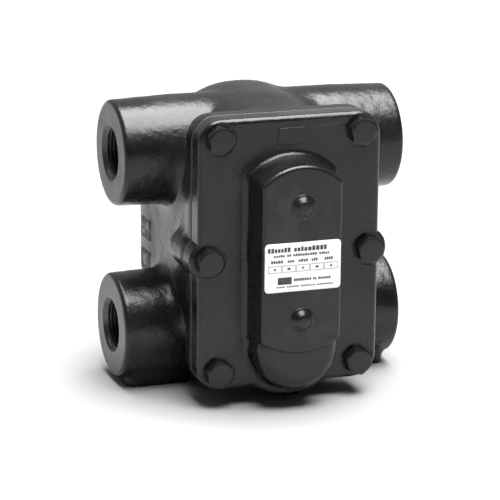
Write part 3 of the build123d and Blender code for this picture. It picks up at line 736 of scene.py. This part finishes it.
def side_pad(name, height):
    """Raised pad for cast markings, left blank, on the casing's left wall."""
    rings = []
    for grow, proud in PAD_PROFILE:
        corner = max(PAD_LEAST_CORNER, PAD_CORNER + grow * MM)
        outline = rounded_outline(PAD_LENGTH / 2 + grow * MM, PAD_HEIGHT / 2 + grow * MM, corner)
        rings.append([(-DRUM_R - proud * MM, PAD_Y + u, height + v) for u, v in outline])
    on_casing(capped_loft(name, rings, PAD_SHARP_ANGLE, flipped=True), PAD_PAINT)


for number, height in enumerate(PAD_HEIGHTS, 1):
    side_pad(f"side_pad_{number}", height)


# ---------------------------------------------------------------- data plate
PLATE_LOW, PLATE_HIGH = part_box("data_plate")
PLATE_MID = (PLATE_LOW + PLATE_HIGH) / 2
PLATE_HALF = (PLATE_HIGH - PLATE_LOW) / 2
PLATE_EDGE = 0.16 * MM
PLATE_ROLL = 0.3 * PLATE_EDGE
PLATE_CORNER = 2.0 * MM
PLATE_INNER_INSET = 1.2 * MM
PLATE_INNER_CORNER = 1.0 * MM


def data_plate():
    """Thin plate with softly rolled edges."""
    front = PLATE_LOW.y
    rings = []
    for inset, depth, corner in ((0, PLATE_HIGH.y, PLATE_CORNER),
                                 (0, front + PLATE_EDGE, PLATE_CORNER),
                                 (PLATE_ROLL, front + PLATE_ROLL, PLATE_CORNER - PLATE_ROLL),
                                 (PLATE_EDGE, front, PLATE_CORNER - PLATE_EDGE),
                                 (PLATE_INNER_INSET, front, PLATE_INNER_CORNER)):
        outline = rounded_outline(PLATE_HALF.x - inset, PLATE_HALF.z - inset, corner)
        rings.append([(PLATE_MID.x + u, depth, PLATE_MID.z + v) for u, v in outline])
    on_casing(capped_loft("data_plate_blank", rings), PLATE, "data_plate")


data_plate()


# ---------------------------------------------------------------- print on the data plate
# Places and sizes are in mm, places from the middle of the plate. Nothing on it can be read.
INK_FRONT = PLATE_LOW.y - 0.02 * MM
INK_BACK = PLATE_LOW.y + 0.05 * MM
PRINT_SEED = 7
# For each line: where it starts, how high it is, letter height, letters in each word, letter width and gap
HEADING = (-18.3, 9.0, 2.3, (7, 9), 1.55, 0.42)
SECOND_LINE = (-15.2, 6.1, 1.2, (5, 2, 10, 5), 1.0, 0.26)
MARK_LINE = (-4.6, -6.4, 1.3, (9, 2, 6), 0.85, 0.2)
FOOTER = (-13.6, -9.6, 0.7, (5, 7, 8, 9), 0.8, 0.2)
COLUMN_HEADS = ((-16.6, 5), (-8.0, 3), (-2.4, 4), (4.4, 3), (11.2, 4))
COLUMN_HEAD_V = 3.2
COLUMN_HEAD_HEIGHT = 1.35
COLUMN_HEAD_LETTER = 1.05
COLUMN_HEAD_GAP = 0.22
BOX_COUNT = 5
BOX_START = -14.6
BOX_SPACING = 7.3
BOX_V = -0.6
BOX_SIZE = (6.9, 3.4)
BOX_LINE = 0.2
BOX_VALUE_WIDTHS = (1.0, 1.5)
BOX_VALUE_HEIGHT = 1.1
MARK_BLOCK = (-9.4, -6.6, 7.2, 3.6)
LETTER_WIDTHS = (0.75, 1.15)
LETTER_HEIGHTS = (1.0, 1.0, 0.8)
CORNER_SIGNS = ((-1, -1), (1, -1), (1, 1), (-1, 1))


class Print:
    """Flat printed blocks, gathered into one mesh."""

    def __init__(self):
        self.verts = []
        self.faces = []
        self.rng = random.Random(PRINT_SEED)

    def block(self, u, v, width, height):
        start = len(self.verts)
        for depth in (INK_FRONT, INK_BACK):
            for sign_u, sign_v in CORNER_SIGNS:
                self.verts.append((PLATE_MID.x + (u + sign_u * width / 2) * MM, depth,
                                   PLATE_MID.z + (v + sign_v * height / 2) * MM))
        self.faces.append((start, start + 1, start + 2, start + 3))
        self.faces.append((start + 7, start + 6, start + 5, start + 4))
        for k in range(4):
            after = (k + 1) % 4
            self.faces.append((start + k, start + 4 + k, start + 4 + after, start + after))

    def words(self, u, v, height, counts, letter, gap):
        """A row of short blocks that looks like a line of small print, with no letters in it."""
        for count in counts:
            for _ in range(count):
                width = letter * self.rng.uniform(*LETTER_WIDTHS)
                tall = height * self.rng.choice(LETTER_HEIGHTS)
                self.block(u + width / 2, v - (height - tall) / 2, width, tall)
                u += width + gap
            u += letter

    def frame(self, u, v, width, height, line):
        for sign in (-1, 1):
            self.block(u, v + sign * (height - line) / 2, width, line)
            self.block(u + sign * (width - line) / 2, v, line, height - line)


def plate_print():
    """Generic print: a heading, a line, column heads over boxes, a solid block with a line, a footer."""
    ink = Print()
    ink.words(*HEADING)
    ink.words(*SECOND_LINE)
    for u, count in COLUMN_HEADS:
        ink.words(u, COLUMN_HEAD_V, COLUMN_HEAD_HEIGHT, (count,), COLUMN_HEAD_LETTER, COLUMN_HEAD_GAP)
    for k in range(BOX_COUNT):
        u = BOX_START + BOX_SPACING * k
        ink.frame(u, BOX_V, *BOX_SIZE, BOX_LINE)
        ink.block(u, BOX_V, BOX_VALUE_WIDTHS[k % len(BOX_VALUE_WIDTHS)], BOX_VALUE_HEIGHT)
    ink.block(*MARK_BLOCK)
    ink.words(*MARK_LINE)
    ink.words(*FOOTER)
    on_casing(new_object("data_plate_print", ink.verts, ink.faces), INK)


plate_print()


# ---------------------------------------------------------------- floor
FLOOR_HALF = 12.0
FLOOR_DROP = 0.05 * MM
FLOOR_COLOUR = grey(0.38)
# Distances from the middle, in m, between which the floor's own glow changes, and how strong it gets; the
# ring close to the middle is painted light over the soft edge of the object's shadow
SHADOW_EDGE_RISE = (0.08, 0.15)
SHADOW_EDGE_FALL = (0.15, 0.26)
SHADOW_EDGE_GLOW = 0.28
FAR_RISE = (0.25, 1.6)
FAR_GLOW = 0.59


def floor_white():
    """White sweep, a little self-lit away from the object so that it stays white to the edge of the view,
    and glowing in a ring just around the object: painted light that lightens the soft edge of its shadow.
    """
    n = Nodes("floor_white")
    length = n.node("ShaderNodeVectorMath", operation="LENGTH")
    n.link(n.object_space, length.inputs[0])
    distance = length.outputs["Value"]
    n.set(Base_Color=FLOOR_COLOUR, Roughness=0.9, Emission_Color=grey(1.0))
    # Glowing ring just around the object: painted light that lightens the soft edge of the object's shadow
    # on the floor
    shadow_edge_glow = n.math("MINIMUM", n.remap(distance, *SHADOW_EDGE_RISE, 0.0, SHADOW_EDGE_GLOW),
                  n.remap(distance, *SHADOW_EDGE_FALL, SHADOW_EDGE_GLOW, 0.0))
    far = n.remap(distance, *FAR_RISE, 0.0, FAR_GLOW)
    n.link(n.math("ADD", shadow_edge_glow, far), n.shader.inputs["Emission Strength"])
    return n.material


def studio_floor():
    corners = [(u * FLOOR_HALF, v * FLOOR_HALF, 0) for u, v in CORNER_SIGNS]
    mesh = bpy.data.meshes.new("floor")
    mesh.from_pydata(corners, [], [(0, 1, 2, 3)])
    mesh.materials.append(floor_white())
    floor = bpy.data.objects.new("floor", mesh)
    bpy.context.scene.collection.objects.link(floor)
    floor.location.z = cad_low.z - FLOOR_DROP


studio_floor()


# ---------------------------------------------------------------- light
SOFTBOX_PLACE = Vector((0.2, -0.12, 1.5))
SOFTBOX_SIZE = (1.15, 1.6)
SOFTBOX_RADIANCE = 15.5
ROOM_RANGE = (-0.2, 0.5)
ROOM_FRONT = 0.07
ROOM_BACK = 0.45


def softbox_top():
    """Large softbox that faces straight down."""
    light = bpy.data.lights.new("softbox_top", "AREA")
    light.shape = "RECTANGLE"
    light.size, light.size_y = SOFTBOX_SIZE
    light.energy = SOFTBOX_RADIANCE * math.pi * light.size * light.size_y
    obj = bpy.data.objects.new("softbox_top", light)
    bpy.context.scene.collection.objects.link(obj)
    obj.location = SOFTBOX_PLACE
    obj.rotation_mode = "QUATERNION"
    obj.rotation_quaternion = Vector((0.0, 0.0, -SOFTBOX_PLACE.z)).to_track_quat("-Z", "Y")


def studio_room():
    """White sweep behind the object and a darker room in front of it."""
    world = bpy.data.worlds.new("studio")
    world.use_nodes = True
    tree = world.node_tree
    direction = tree.nodes.new("ShaderNodeTexCoord").outputs["Generated"]
    split = tree.nodes.new("ShaderNodeSeparateXYZ")
    ramp = tree.nodes.new("ShaderNodeMapRange")
    tree.links.new(direction, split.inputs["Vector"])
    tree.links.new(split.outputs["Y"], ramp.inputs["Value"])
    for key, number in zip(RANGE_INPUTS, (*ROOM_RANGE, ROOM_FRONT, ROOM_BACK)):
        ramp.inputs[key].default_value = number
    tree.nodes["Background"].inputs["Color"].default_value = grey(1.0)
    tree.links.new(ramp.outputs["Result"], tree.nodes["Background"].inputs["Strength"])
    bpy.context.scene.world = world


softbox_top()
studio_room()


# ---------------------------------------------------------------- camera
VIEW_AZIMUTH = math.radians(-20.19)
VIEW_ELEVATION = math.radians(15.16)
VIEW_ROLL = math.radians(0.69)
VIEW_DISTANCE = 1.3
VIEW_AIM = Vector((0.0, -0.0169, 0.070))
VIEW_LENS = 185.9
VIEW_SENSOR = 36.0
VIEW_SHIFT = (-0.0376, 0.0014)
VIEW_CLIP = (0.05, 60.0)


def fitted_camera():
    """Camera in the place, and with the lens, that the photograph was fitted to."""
    data = bpy.data.cameras.new("camera")
    data.sensor_width = VIEW_SENSOR
    data.lens = VIEW_LENS
    data.shift_x, data.shift_y = VIEW_SHIFT
    data.clip_start, data.clip_end = VIEW_CLIP
    camera = bpy.data.objects.new("camera", data)
    bpy.context.scene.collection.objects.link(camera)
    flat = math.cos(VIEW_ELEVATION)
    back = Vector((math.sin(VIEW_AZIMUTH) * flat, -math.cos(VIEW_AZIMUTH) * flat, math.sin(VIEW_ELEVATION)))
    camera.location = VIEW_AIM + back * VIEW_DISTANCE
    camera.rotation_mode = "QUATERNION"
    roll = Matrix.Rotation(VIEW_ROLL, 4, "Z").to_quaternion()
    camera.rotation_quaternion = (-back).to_track_quat("-Z", "Y") @ roll
    bpy.context.scene.camera = camera
    bpy.context.scene.view_settings.view_transform = "Standard"


fitted_camera()
